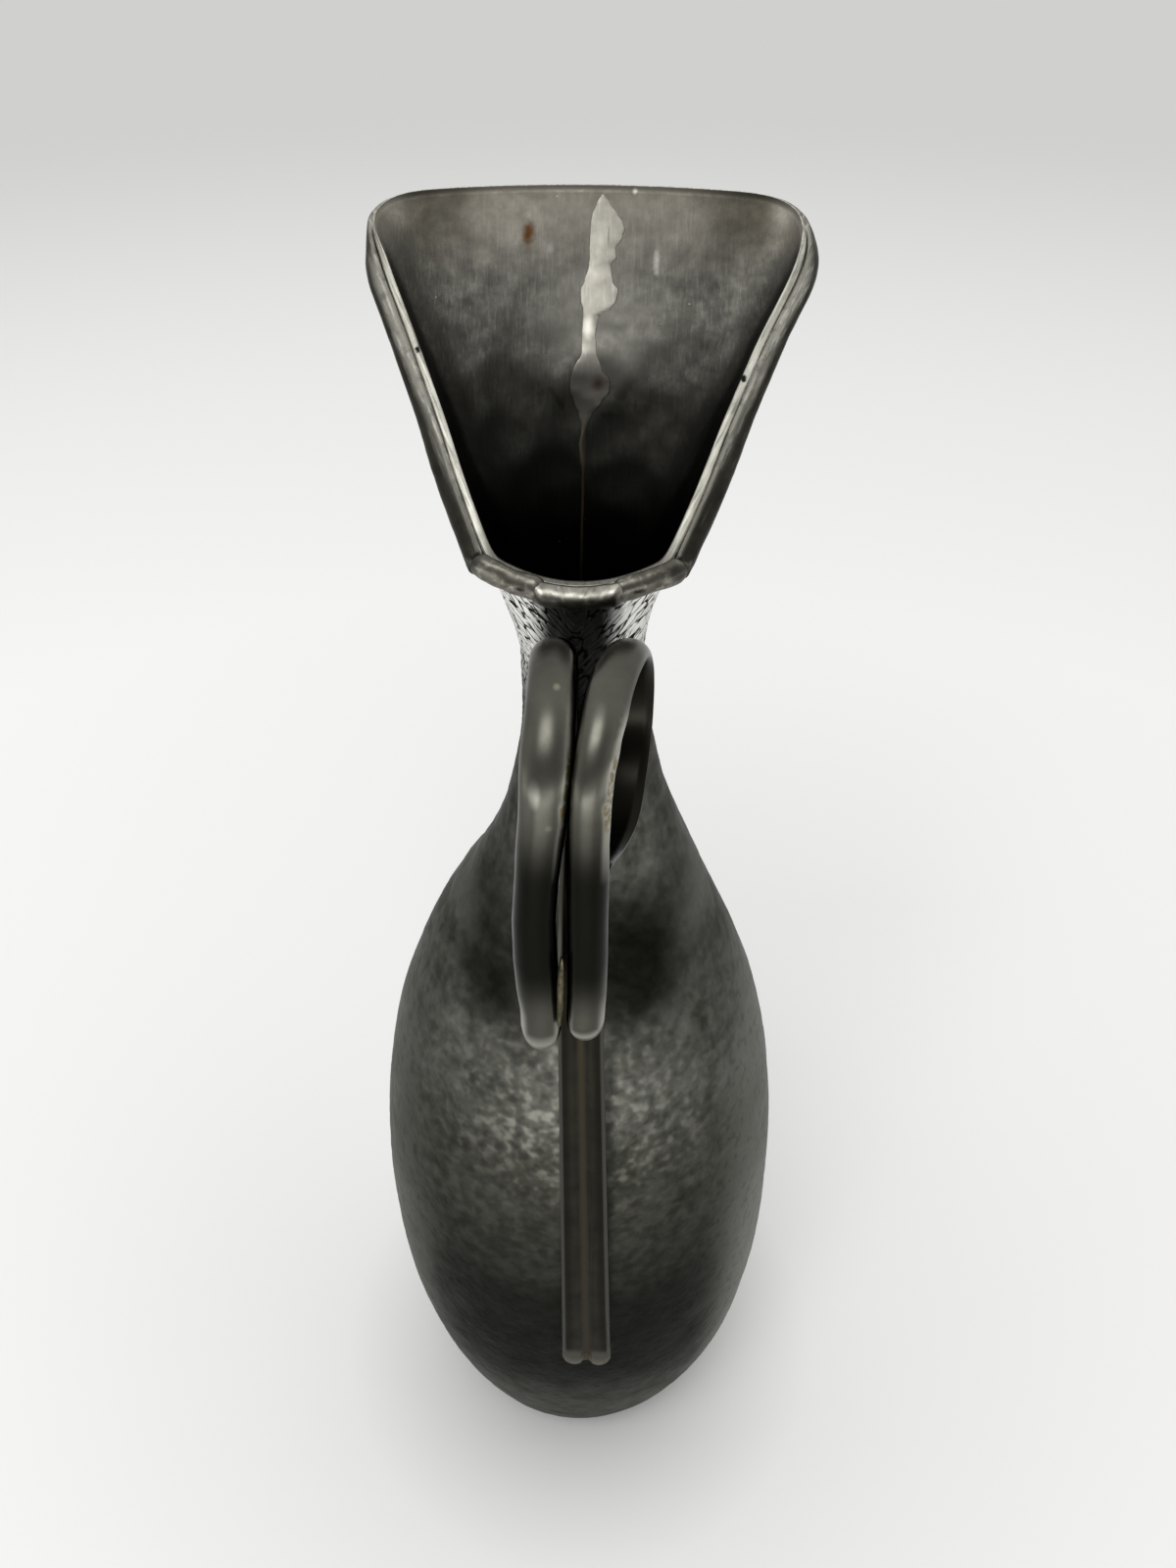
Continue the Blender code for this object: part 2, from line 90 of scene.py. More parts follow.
# Matt paper: no gloss, so it shows only soft shadow. Close round the foot it is painted a little darker, as a
# painted shadow, and its far border is clear, so that no edge shows. Distances from the ewer's axis are in metres.
paper_radius = 2.5
foot_shade_from, foot_shade_to = 0.028, 0.068
white_from, white_to = 0.12, 0.45
fade_from, fade_to = 0.75, 2.2
bpy.ops.object.select_all(action="DESELECT")
bpy.ops.mesh.primitive_circle_add(vertices=96, radius=paper_radius, fill_type="NGON")
floor = bpy.context.active_object
floor.name = "floor"
floor_material, tree, output = new_material("matt_white_paper")
place = add_node(tree, "ShaderNodeTexCoord")
reach = add_node(tree, "ShaderNodeVectorMath", {0: place.outputs["Object"]}, operation="LENGTH").outputs["Value"]
fade = add_node(
    tree, "ShaderNodeMapRange", {"Value": reach, "From Min": fade_from, "From Max": fade_to},
    interpolation_type="SMOOTHSTEP",
)
far = add_node(tree, "ShaderNodeMapRange", {"Value": reach, "From Min": white_from, "From Max": white_to})
white = add_node(
    tree, "ShaderNodeMix", {0: far.outputs[0], 6: linear("#f2f2f1"), 7: linear("#ffffff")}, data_type="RGBA",
)
# Painted shadow: the paper is darker close round the foot.
near = add_node(tree, "ShaderNodeMapRange", {"Value": reach, "From Min": foot_shade_from, "From Max": foot_shade_to})
shaded = add_node(
    tree, "ShaderNodeMix", {0: near.outputs[0], 6: linear("#dadad9"), 7: white.outputs[2]}, data_type="RGBA",
)
paper = add_node(tree, "ShaderNodeBsdfDiffuse", {"Color": shaded.outputs[2]})
clear = add_node(tree, "ShaderNodeBsdfTransparent")
mix = add_node(tree, "ShaderNodeMixShader", {0: fade.outputs[0], 1: paper.outputs[0], 2: clear.outputs[0]})
tree.links.new(mix.outputs[0], output.inputs["Surface"])
floor.data.materials.append(floor_material)

way_behind_camera = (0, -0.9, 0.43)
world = bpy.data.worlds.new("pale_room")
bpy.context.scene.world = world
world.use_nodes = True
tree = world.node_tree
way = add_node(tree, "ShaderNodeTexCoord")
split = add_node(tree, "ShaderNodeSeparateXYZ", {0: way.outputs["Generated"]})
height = add_node(tree, "ShaderNodeMapRange", {"Value": split.outputs["Z"], "From Min": 0.0, "From Max": 0.8})
room = add_node(
    tree, "ShaderNodeMix", {0: height.outputs[0], 6: linear("#d0d0cf"), 7: linear("#fbfbfa")}, data_type="RGBA",
)
behind = add_node(
    tree, "ShaderNodeVectorMath", {0: way.outputs["Generated"], 1: way_behind_camera}, operation="DOT_PRODUCT",
)
dim = add_node(
    tree, "ShaderNodeMapRange",
    {"Value": behind.outputs["Value"], "From Min": 0.3, "From Max": 0.95, "To Min": 1.0, "To Max": 0.3},
    interpolation_type="SMOOTHSTEP",
)
tree.links.new(room.outputs[2], tree.nodes["Background"].inputs["Color"])
seen = add_node(tree, "ShaderNodeLightPath")
strength = add_node(tree, "ShaderNodeMix", {0: seen.outputs["Is Camera Ray"], 2: dim.outputs[0], 3: 1.0})
tree.links.new(strength.outputs[0], tree.nodes["Background"].inputs["Strength"])

for name, place, tilt, turn, size, power in (
    ("high_softbox", (-0.2, -0.62, 1.2), 0.55, 0, (0.7, 0.45), 6.0),
    ("low_softbox", (0, -0.85, 0.07), math.pi / 2, 0, (0.8, 0.13), 3.0),
    ("left_softbox", (-0.74, -0.43, 0.07), math.pi / 2, -math.pi / 3, (0.7, 0.13), 0.9),
    ("right_softbox", (0.74, -0.43, 0.07), math.pi / 2, math.pi / 3, (0.7, 0.13), 0.9),
):
    lamp_data = bpy.data.lights.new(name, "AREA")
    lamp_data.shape = "RECTANGLE"
    lamp_data.size, lamp_data.size_y = size
    lamp_data.energy = power
    lamp = bpy.data.objects.new(name, lamp_data)
    lamp.location = place
    lamp.rotation_euler = (tilt, 0, turn)
    bpy.context.scene.collection.objects.link(lamp)


# Body. One sheet of pewter raised over stakes from foot to spout, hammered all over outside and
# crinkled at the neck, planished smooth inside the spout, and left under a dark patina.
def from_solid(name, node, levels, crease=0.0, mark=None):
    """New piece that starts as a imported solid: triangles merged, paired into quads, marked and smoothed."""
    piece = bpy.data.objects.new(name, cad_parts[node].data.copy())
    bpy.context.scene.collection.objects.link(piece)
    piece.data.materials.clear()
    bpy.ops.object.select_all(action="DESELECT")
    piece.select_set(True)
    bpy.context.view_layer.objects.active = piece
    bpy.ops.mesh.customdata_custom_splitnormals_clear()
    bpy.ops.object.mode_set(mode="EDIT")
    bpy.ops.mesh.select_mode(type="EDGE")
    bpy.ops.mesh.select_all(action="SELECT")
    bpy.ops.mesh.remove_doubles(threshold=0.01 * MM)
    bpy.ops.mesh.tris_convert_to_quads(face_threshold=1.4, shape_threshold=2.6, topology_influence=1.0)
    bpy.ops.mesh.select_all(action="DESELECT")
    bpy.ops.mesh.edges_select_sharp(sharpness=math.radians(50))
    bpy.ops.transform.edge_crease(value=crease)
    bpy.ops.mesh.select_all(action="DESELECT")
    bpy.ops.object.mode_set(mode="OBJECT")
    if mark:
        mark(piece.data)
    if levels:
        rounding = piece.modifiers.new("rounding", "SUBSURF")
        rounding.levels = levels
        rounding.render_levels = levels
        bpy.ops.object.modifier_apply(modifier="rounding")
    piece.data.shade_smooth()
    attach(piece, "root")
    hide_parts(node)
    return piece


def cut_long_edges(piece, longest, cuts, wanted):
    """Divides the edges that are too long to carry small dents, where they are wanted. Longest in mm."""
    points = piece.data.vertices
    for edge in piece.data.edges:
        a, b = [points[i] for i in edge.vertices]
        edge.select = (a.co - b.co).length > longest * MM and wanted((a.co + b.co) / 2, (a.normal + b.normal) / 2)
    bpy.ops.object.mode_set(mode="EDIT")
    bpy.ops.mesh.subdivide(number_cuts=cuts)
    bpy.ops.mesh.select_all(action="DESELECT")
    bpy.ops.object.mode_set(mode="OBJECT")


def push(piece, amount):
    """Moves each point out along its normal by amount(place in mm, normal), in mm."""
    points = [(vertex, vertex.normal.copy()) for vertex in piece.data.vertices]
    for vertex, normal in points:
        vertex.co += normal * amount(vertex.co / MM, normal) * MM
    piece.data.update()


def ramp(value, low, high):
    """0 below low, 1 above high, and a smooth rise between them."""
    share = min(1, max(0, (value - low) / (high - low)))
    return share * share * (3 - 2 * share)


neck_z = 232
spout_lean = 0.25
sharp_turn = 0.6
OUTSIDE, INSIDE, EDGE = range(3)


def sheet_side(place, normal, edge_on=0.35):
    """Outside, inside or cut edge of the sheet, from the way its surface looks. Place in mm."""
    middle = Vector((0, max(0, place.z - neck_z) * spout_lean, place.z))
    facing = normal.dot((place - middle).normalized())
    if abs(facing) < edge_on:
        return EDGE
    return OUTSIDE if facing > 0 else INSIDE


def mark_sides(mesh):
    """Marks each face as outside, inside or cut edge. The cut edge turns sharply along both its long sides."""
    beside = {}
    for face in mesh.polygons:
        for key in face.edge_keys:
            beside.setdefault(key, []).append(face.normal)
    for face in mesh.polygons:
        turns = sum(beside[key][0].dot(beside[key][-1]) < sharp_turn for key in face.edge_keys)
        side = sheet_side(face.center / MM, face.normal, 0)
        face.material_index = EDGE if turns > 1 else side


def hammered_edge(place, normal):
    return sheet_side(place / MM, normal) == OUTSIDE


def neck_edge(place, normal):
    return 196 < place.z / MM < 258 and sheet_side(place / MM, normal) == OUTSIDE


def spout_edge(place, normal):
    return place.z / MM > 240 and sheet_side(place / MM, normal) == INSIDE


sheet = from_solid("body_sheet", "body_shell", levels=2, crease=0.8, mark=mark_sides)
cut_long_edges(sheet, longest=1.9, cuts=1, wanted=hammered_edge)
cut_long_edges(sheet, longest=1.0, cuts=1, wanted=neck_edge)
cut_long_edges(sheet, longest=1.9, cuts=1, wanted=spout_edge)

# Sizes of the marks in the sheet, and the slanted line of the mouth's edge, in mm.
wave_length, wave_depth = 15, 0.14
dent_width, dent_depth = 3.0, 0.12
throat_dent_times, throat_dent_depth = 2.6, 0.5
bark_lean = Vector((0.6, 0, 0.8))
crinkle_long, crinkle_wide, crinkle_depth = 2.8, 1.2, 0.16
mouth_back_y, mouth_back_z, mouth_slope = -15, 253.5, 0.807


def neck_share(z):
    """How far the hammering gives way to crinkles, 0 on the belly to 1 on the neck. Height in mm."""
    return ramp(z, 200, 226) * (1 - ramp(z, 256, 266))


def dents(place):
    """Shallow bowls left by the hammer, 0 at the bottom of a blow to 1 on the ridge between blows."""
    nearest = noise.voronoi(place / dent_width)[0][0]
    return min(1, 2.2 * nearest * nearest)


def crinkles(place):
    """Long plates that lean out from the middle of the neck, 0 in the crack between them to 1 on top."""
    folded = Vector((abs(place.x), place.y, place.z))
    across = Vector((bark_lean.z, 0, -bark_lean.x))
    cell = Vector((folded.dot(bark_lean) / crinkle_long, folded.dot(across) / crinkle_wide, folded.y / crinkle_wide))
    near, next_near = noise.voronoi(cell)[0][:2]
    return ramp(next_near - near, 0.0, 0.35)


def sheet_relief(place, normal):
    """Waves, dents and crinkles of the sheet, which die out towards the wired edge."""
    below_mouth = mouth_back_z + mouth_slope * (place.y - mouth_back_y) - place.z
    waves = wave_depth * noise.noise(place / wave_length)
    if sheet_side(place, normal) == INSIDE:
        throat = ramp(place.z, 246, 258) * (1 - ramp(place.z, 274, 284))
        hollows = throat_dent_depth * throat * (dents(place / throat_dent_times) - 0.5)
        relief = 0.5 * waves + 0.04 * noise.noise(place / 4) + hollows
    else:
        neck = neck_share(place.z)
        relief = waves + (1 - neck) * dent_depth * (dents(place) - 0.5) + neck * crinkle_depth * (crinkles(place) - 0.5)
    return relief * ramp(below_mouth, 0.5, 5)


# Height in mm, lean to the right in mm and change in width: a body raised by hand is never quite true.
out_of_true = (
    (301, -0.6, 0.01), (297, -0.6, 0.01), (290, 0.3, -0.008), (279, 0, -0.024), (273, 0, -0.024), (262, 0, 0),
    (245, 0, 0), (232, 0.6, -0.01), (213, 1.5, -0.05), (203, 1.6, -0.066), (197.5, 1.9, -0.069), (192.5, 2.0, -0.062),
    (187.5, 1.9, -0.046), (182, 1.5, -0.026), (176.5, 0.7, 0.003), (168, 0.2, 0.018), (150, 0.1, 0.015), (118, 0, 0),
    (95, 0, 0), (60, 0.4, 0), (36, 0.9, 0), (20, 0.6, 0), (6, 0, 0), (-1, 0, 0),
)


def between(rows, z):
    """The values of a table of heights at one height, with smooth steps from row to row."""
    for high, low in zip(rows, rows[1:]):
        if z >= low[0]:
            share = ramp(z, low[0], high[0])
            return [a + (b - a) * share for a, b in zip(low[1:], high[1:])]
    return rows[-1][1:]


def put_out_of_true(piece):
    """Leans and widens a piece by the table, so that what is soldered to the sheet goes with it."""
    for vertex in piece.data.vertices:
        lean, wider = between(out_of_true, vertex.co.z / MM)
        vertex.co.x += vertex.co.x * wider + lean * MM
    piece.data.update()


ridges = sheet.data.attributes.new("ridge", "FLOAT", "POINT")
ridges.data.foreach_set("value", [dents(vertex.co / MM) for vertex in sheet.data.vertices])
push(sheet, sheet_relief)
put_out_of_true(sheet)


def pewter(name, dark, light, patch, rough, rim="#ffffff"):
    """Pewter under a patina that is thin in some patches and thick in others, and dulls the glancing shine."""
    material, tree, output = new_material(name)
    place = add_node(tree, "ShaderNodeTexCoord").outputs["Object"]
    clouds = add_node(
        tree, "ShaderNodeTexNoise",
        {"Vector": place, "Scale": 1 / (patch * MM), "Detail": 5.0, "Roughness": 0.6},
    ).outputs["Fac"]
    spread = add_node(tree, "ShaderNodeMapRange", {"Value": clouds, "From Min": 0.3, "From Max": 0.7})
    tone = add_node(
        tree, "ShaderNodeMix", {0: spread.outputs[0], 6: linear(dark), 7: linear(light)}, data_type="RGBA",
    )
    gloss = add_node(
        tree, "ShaderNodeMapRange",
        {"Value": clouds, "From Min": 0.3, "From Max": 0.7, "To Min": rough[1], "To Max": rough[0]},
    )
    shader = add_node(
        tree, "ShaderNodeBsdfPrincipled",
        {"Base Color": tone.outputs[2], "Metallic": 1.0, "Roughness": gloss.outputs[0], "Specular Tint": linear(rim)},
    )
    tree.links.new(shader.outputs[0], output.inputs["Surface"])
    return material, tree, place, shader


def in_mm(tree, place):
    """Sideways, back to front and up in mm, and how far off the middle to either side."""
    scaled = add_node(tree, "ShaderNodeVectorMath", {0: place, "Scale": 1 / MM}, operation="SCALE")
    x, y, z = add_node(tree, "ShaderNodeSeparateXYZ", {0: scaled.outputs[0]}).outputs
    return x, y, z, add_node(tree, "ShaderNodeMath", {0: x}, operation="ABSOLUTE").outputs[0]


def mask(tree, *limits):
    """Where a mark lies, from 0 to 1: the product of its limits. Each is another mask, a share, or a value
    with where it starts, where it is full and, if not 1, how full."""
    whole = None
    for limit in limits:
        if isinstance(limit, tuple):
            value, start, full, *top = limit
            limit = add_node(
                tree, "ShaderNodeMapRange",
                {"Value": value, "From Min": start, "From Max": full, "To Max": top[0] if top else 1.0},
                interpolation_type="SMOOTHSTEP",
            ).outputs[0]
        if whole is not None:
            limit = add_node(tree, "ShaderNodeMath", {0: whole, 1: limit}, operation="MULTIPLY").outputs[0]
        whole = limit
    return whole


def lay_over(tree, shader, colour, *limits, blend="MIX"):
    """Lays another colour over the material within the limits of a mask."""
    under = shader.inputs["Base Color"].links[0].from_socket
    over = add_node(
        tree, "ShaderNodeMix", {0: mask(tree, *limits), 6: under, 7: linear(colour)},
        data_type="RGBA", blend_type=blend,
    )
    tree.links.new(over.outputs[2], shader.inputs["Base Color"])


def drawn_out(tree, place, lean, along, across):
    """Coordinates that draw a pattern out along a direction, alike on both sides of the middle. Sizes in mm."""
    split = add_node(tree, "ShaderNodeSeparateXYZ", {0: place})
    side = add_node(tree, "ShaderNodeMath", {0: split.outputs["X"]}, operation="ABSOLUTE")
    folded = add_node(
        tree, "ShaderNodeCombineXYZ", {0: side.outputs[0], 1: split.outputs["Y"], 2: split.outputs["Z"]},
    )
    lean = Vector(lean).normalized()
    first = lean.orthogonal().normalized()
    shares = [
        add_node(tree, "ShaderNodeVectorMath", {0: folded.outputs[0], 1: axis / (size * MM)}, operation="DOT_PRODUCT")
        for axis, size in ((lean, along), (first, across), (lean.cross(first), across))
    ]
    return add_node(
        tree, "ShaderNodeCombineXYZ", {i: share.outputs["Value"] for i, share in enumerate(shares)},
    ).outputs[0]


def spot(tree, place, centre, size, soft=0.5, ragged=0.0):
    """Mask of one mark: 1 inside it, 0 outside. Centre and half sizes in mm."""
    away = add_node(
        tree, "ShaderNodeVectorMath", {0: place, 1: Vector(centre) * MM}, operation="SUBTRACT",
    )
    scaled = add_node(
        tree, "ShaderNodeVectorMath", {0: away.outputs[0], 1: [1 / (s * MM) for s in size]}, operation="MULTIPLY",
    )
    reach = add_node(tree, "ShaderNodeVectorMath", {0: scaled.outputs[0]}, operation="LENGTH").outputs["Value"]
    if ragged:
        fray = add_node(
            tree, "ShaderNodeTexNoise", {"Vector": place, "Scale": 1 / (min(size) * MM), "Detail": 3.0},
        )
        fray = add_node(
            tree, "ShaderNodeMapRange", {"Value": fray.outputs["Fac"], "To Min": -ragged, "To Max": ragged},
        )
        reach = add_node(tree, "ShaderNodeMath", {0: reach, 1: fray.outputs[0]}, operation="ADD").outputs[0]
    return mask(tree, (reach, 1.0, 1.0 - soft))


# Hammered pewter: every small blow is a satin facet, so it glints in spots 1.5 to 3 mm across, and the
# patina has stayed dark in the dents. On the neck the skin has broken into bright plates with dark cracks.
hammered, tree, place, shader = pewter("hammered_pewter_dark_patina", "#35352f", "#4d4d48", 9, (0.4, 0.54), "#c8c8c8")
x, y, z, off_middle = in_mm(tree, place)
handle_side = mask(tree, (y, 30, -25))
ridge = add_node(tree, "ShaderNodeAttribute", attribute_name="ridge").outputs["Fac"]
lay_over(tree, shader, "#5c5c58", (ridge, 0.35, 1.0, 0.3))

# Painted light on the back of the belly: a patch of painted glints either side of the strap, with dark between
# them, flanks painted paler as a painted reflection, the right one paler still, and fainter painted glints lower down.
painted_sheen_patch = spot(tree, place, (1, -36, 146), (33, 30, 28), soft=0.8, ragged=0.3)
lay_over(tree, shader, "#4f4f49", painted_sheen_patch, (z, 120, 140, 0.5))
lay_over(tree, shader, "#6f6f6a", (off_middle, 28, 42, 0.6))
lay_over(tree, shader, "#8a8a85", (x, 28, 42, 0.5))
glints = add_node(
    tree, "ShaderNodeTexNoise", {"Vector": place, "Scale": 1 / (2.4 * MM), "Detail": 1.5},
).outputs["Fac"]
lay_over(tree, shader, "#89897f", (glints, 0.47, 0.82), painted_sheen_patch)
lay_over(tree, shader, "#252522", (glints, 0.46, 0.25, 0.45), painted_sheen_patch)
lay_over(tree, shader, "#62625c", (glints, 0.48, 0.74, 0.4), (z, 50, 120))
lay_over(tree, shader, "#1f1f1c", (glints, 0.48, 0.3, 0.3))

# Painted shade on the handle side: dark low on the belly and below the scrolls, two soft darker spots under the
# scrolls, a little more round the belly's middle, and the strap's painted shadow along its right side. The
# shoulder's flanks are painted lighter, as a painted reflection.
lay_over(tree, shader, "#10100e", (z, 128, 88, 0.87), (z, 35, 65), (off_middle, 43, 24), handle_side)
lay_over(tree, shader, "#131311", (z, 158, 172, 0.75), (z, 200, 182), (off_middle, 30, 18), handle_side)
lay_over(tree, shader, "#7d7d77", (z, 172, 181), (z, 206, 194), (off_middle, 17, 25, 0.4))
for colour, centre, size in (
    ("#8c8c89", (11, -23, 179), (15, 26, 19)),
    ("#b0b0ac", (-16.5, -24, 171), (9.5, 24, 11)),
):
    lay_over(tree, shader, colour, spot(tree, place, centre, size, soft=0.8, ragged=0.2), blend="MULTIPLY")
lay_over(tree, shader, "#dfdfdb", (z, 147, 130), (z, 98, 116), handle_side, blend="MULTIPLY")
# The strap's painted shadow on the belly, along its right side.
lay_over(tree, shader, "#151513", (x, 5.0, 5.8), (x, 9.6, 7.2), (z, 84, 96), (z, 168, 152, 0.7), (y, 0, -10))

# Pebbly marks of the hammer on the belly, and leaning plates on the neck with dark cracks. At the back the plates are
# worn bright and carry a painted reflection, and down the middle of the back they are painted black, a painted dark
# reflection.
marks = add_node(
    tree, "ShaderNodeTexVoronoi", {"Vector": place, "Scale": 1 / (1.9 * MM), "Smoothness": 0.5}, feature="SMOOTH_F1",
)
uneven = add_node(tree, "ShaderNodeTexNoise", {"Vector": place, "Scale": 1 / (3.5 * MM), "Detail": 2.0})
pebbles = add_node(
    tree, "ShaderNodeMath", {0: uneven.outputs["Fac"], 1: marks.outputs["Distance"]}, operation="SUBTRACT",
)
bark = drawn_out(tree, place, bark_lean, along=3.6, across=0.65)
wander = add_node(tree, "ShaderNodeTexNoise", {"Vector": bark, "Scale": 0.8, "Detail": 2.0})
bark = add_node(
    tree, "ShaderNodeMix", {0: 0.35, 4: bark, 5: wander.outputs["Color"]}, data_type="VECTOR",
).outputs[1]
cracks = add_node(
    tree, "ShaderNodeTexVoronoi", {"Vector": bark, "Scale": 1.0}, feature="DISTANCE_TO_EDGE",
).outputs["Distance"]
healed = add_node(
    tree, "ShaderNodeTexNoise", {"Vector": place, "Scale": 1 / (2.2 * MM), "Detail": 2.0},
).outputs["Fac"]
neck = mask(tree, (z, 205, 226), (z, 268, 256))
lay_over(tree, shader, "#6b6b66", neck, (z, 222, 240, 0.3))
# Painted reflection: the plates at the back of the neck are bright.
lay_over(tree, shader, "#e9e9e5", neck, (z, 222, 240), (y, 8, -4))
lay_over(tree, shader, "#080807", neck, (cracks, 0.11, 0.04), (healed, 0.3, 0.5))
# Painted dark reflection down the middle of the neck's back.
lay_over(tree, shader, "#080807", neck, (off_middle, 8.5, 4.0, 0.975), (y, 0, -4))
plates = mask(tree, (cracks, 0.02, 0.14))
relief = add_node(tree, "ShaderNodeMix", {0: neck, 2: pebbles.outputs[0], 3: plates})
bump = add_node(
    tree, "ShaderNodeBump", {"Height": relief.outputs[0], "Strength": 1.0, "Distance": 0.1 * MM},
)
tree.links.new(bump.outputs[0], shader.inputs["Normal"])
sheet.data.materials.append(hammered)

# Planished pewter inside the spout: smoother, wiped up and down so it shows fine upright scratches, and mottled
# where the wipe missed. It is painted lighter high up, in warm cloudy patches, and painted darker down the throat
# to black, as painted light and shade.
wipe_lean = (0, 0.45, 0.9)
planished, tree, place, shader = pewter("planished_pewter_inside", "#3d3c38", "#4c4b46", 3, (0.36, 0.5))
*_, z, off_middle = in_mm(tree, place)
grain = add_node(
    tree, "ShaderNodeTexNoise",
    {"Vector": drawn_out(tree, place, wipe_lean, 4.5, 0.45), "Scale": 1.0, "Detail": 5.0, "Roughness": 0.65},
).outputs["Fac"]
lay_over(tree, shader, "#787770", (grain, 0.5, 0.75, 0.3))
lay_over(tree, shader, "#262523", (grain, 0.48, 0.28, 0.3))
warm = add_node(
    tree, "ShaderNodeTexNoise", {"Vector": place, "Scale": 1 / (4 * MM), "Detail": 6.0, "Roughness": 0.65},
).outputs["Fac"]
# Painted light: lighter high up in the spout.
high_up = mask(tree, (z, 284, 298))
lay_over(tree, shader, "#736f67", high_up, (z, 284, 290, 0.6))
lay_over(tree, shader, "#827d72", high_up, (warm, 0.35, 0.75, 0.25))
blotch = add_node(
    tree, "ShaderNodeTexNoise", {"Vector": place, "Scale": 1 / (5 * MM), "Detail": 4.0, "Distortion": 0.5},
).outputs["Fac"]
throat = spot(tree, place, (1, 24, 270), (15, 20, 9), soft=0.8, ragged=0.3)
lay_over(tree, shader, "#141311", throat, (blotch, 0.5, 0.58, 0.7))
# Painted shade: darker down the throat and black at its bottom.
lay_over(tree, shader, "#11110f", (z, 290, 265, 0.9))
lay_over(tree, shader, "#020202", (z, 268, 248, 0.97))
# Painted shade towards both sides and along the very top edge, and a painted glow in the middle.
lay_over(tree, shader, "#9c9b96", (off_middle, 12, 28), (z, 283, 295), (off_middle, 35, 29), blend="MULTIPLY")
lay_over(tree, shader, "#dddddb", (z, 296, 300), blend="MULTIPLY")
lay_over(tree, shader, "#84827a", spot(tree, place, (3, 28, 281), (17, 30, 13), soft=1.0), 0.4)
dust = add_node(tree, "ShaderNodeTexVoronoi", {"Vector": place, "Scale": 1 / (3.2 * MM)}).outputs["Distance"]
lay_over(tree, shader, "#8f8b78", (dust, 0.05, 0.03, 0.7), (warm, 0.5, 0.55))
# One rust-brown spot, a light streak and two light dots, then two glints beside the seam.
for colour, centre, size in (
    ("#3d2914", (-10.2, 36.9, 292.8), (1.6, 3.0, 3.0)),
    ("#817f77", (11.9, 35.0, 289.2), (0.8, 2.6, 2.8)),
    ("#98968e", (7.9, 40.2, 299.1), (0.6, 0.7, 0.7)),
    ("#6b6a65", (-6.3, 36.1, 290.9), (1.0, 1.2, 1.2)),
):
    lay_over(tree, shader, colour, spot(tree, place, centre, size, soft=0.9, ragged=0.5))
for centre in ((-3.8, 29.5, 279.0), (5.2, 29.9, 279.6)):
    lay_over(tree, shader, "#4f4e49", spot(tree, place, centre, (4.2, 2.2, 1.5), soft=1.0))
bump = add_node(tree, "ShaderNodeBump", {"Height": grain, "Strength": 0.35, "Distance": 0.08 * MM})
tree.links.new(bump.outputs[0], shader.inputs["Normal"])
sheet.data.materials.append(planished)

# Cut edge of the sheet at the mouth and the foot: rubbed bright by hands and cloths, in streaks along it,
# and dark in the two nicks, which go on into the wire outside it.
rim_lean = (0.40, 0.70, 0.60)
nicks = (((-27.5, 17.0, 279.6), (0.6, 1.2, 0.6)), ((26.4, 13.4, 276.7), (0.6, 1.3, 0.7)))
worn, tree, place, shader = pewter("worn_pewter_edge", "#a5a398", "#d3d1c6", 4, (0.3, 0.44))
z = in_mm(tree, place)[2]
streaks = add_node(
    tree, "ShaderNodeTexNoise",
    {"Vector": drawn_out(tree, place, rim_lean, 8, 0.5), "Scale": 1.0, "Detail": 4.0, "Roughness": 0.6},
).outputs["Fac"]
lay_over(tree, shader, "#e6e4da", (streaks, 0.5, 0.68, 0.8))
lay_over(tree, shader, "#55534c", (streaks, 0.48, 0.34, 0.6))
lay_over(tree, shader, "#4f4d46", (z, 262, 256, 0.8))
for centre, size in nicks:
    lay_over(tree, shader, "#1d1c19", spot(tree, place, centre, size, soft=0.6, ragged=0.8))
sheet.data.materials.append(worn)

# Base. A flat disc of the same sheet closes the foot, held by a ring of solder run in from inside.
# Both are hidden while the ewer stands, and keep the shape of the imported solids.
# Rolled pewter is grey, with cloudy stains and little shine. Soft solder is lighter, in small soft blotches.
dull, tree, place, shader = pewter("rolled_pewter_dull", "#33332f", "#4d4d49", 7, (0.4, 0.55))
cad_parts["base_disc"].data.materials[0] = dull
solder, tree, place, shader = pewter("soft_solder_grey", "#5b5a55", "#7d7b74", 3, (0.34, 0.48))
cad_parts["base_solder"].data.materials[0] = solder

# Seam inside the spout. Solder was run down the front seam, lapped out to both sides and wiped,
# and has stayed bright above, while its last drop froze as a dull round blob.
run = from_solid("front_seam_run", "front_seam_solder", levels=2, crease=0.2)
# Height, left edge and right edge in mm.
run_edges = (
    (299.3, 2.5, 2.7), (298.2, 2.0, 3.1), (297.0, 1.3, 4.2), (295.6, 0.6, 5.3), (294.6, 0.4, 6.2),
    (293.8, 0.35, 6.5), (292.6, 0.35, 6.0), (291.1, 0.3, 5.0), (289.8, 0.35, 5.1), (288.7, 0.2, 4.1),
    (286.3, -0.6, 4.5), (285.2, -1.2, 5.5), (283.5, -1.0, 5.2), (282.4, -0.6, 4.2), (281.7, -0.55, 2.4),
    (280.2, -0.6, 2.1), (278.5, -0.7, 1.8), (276.1, -0.7, 2.0), (273.6, -2.2, 3.1), (272.3, -2.6, 4.4),
    (270.4, -2.6, 4.3), (269.0, -2.0, 3.2), (267.1, -1.1, 1.5), (265.7, -0.6, 0.7), (264.6, -0.45, 0.45),
    (262.8, -0.85, 0.6), (260.2, -0.7, 0.5), (258.4, -0.4, 0.3), (255.0, -0.35, 0.25), (200.0, -0.3, 0.3),
)
top_rise = 0.6
narrowest = 0.1
height_kept, sunk = 0.2, 0.02
slices = {}
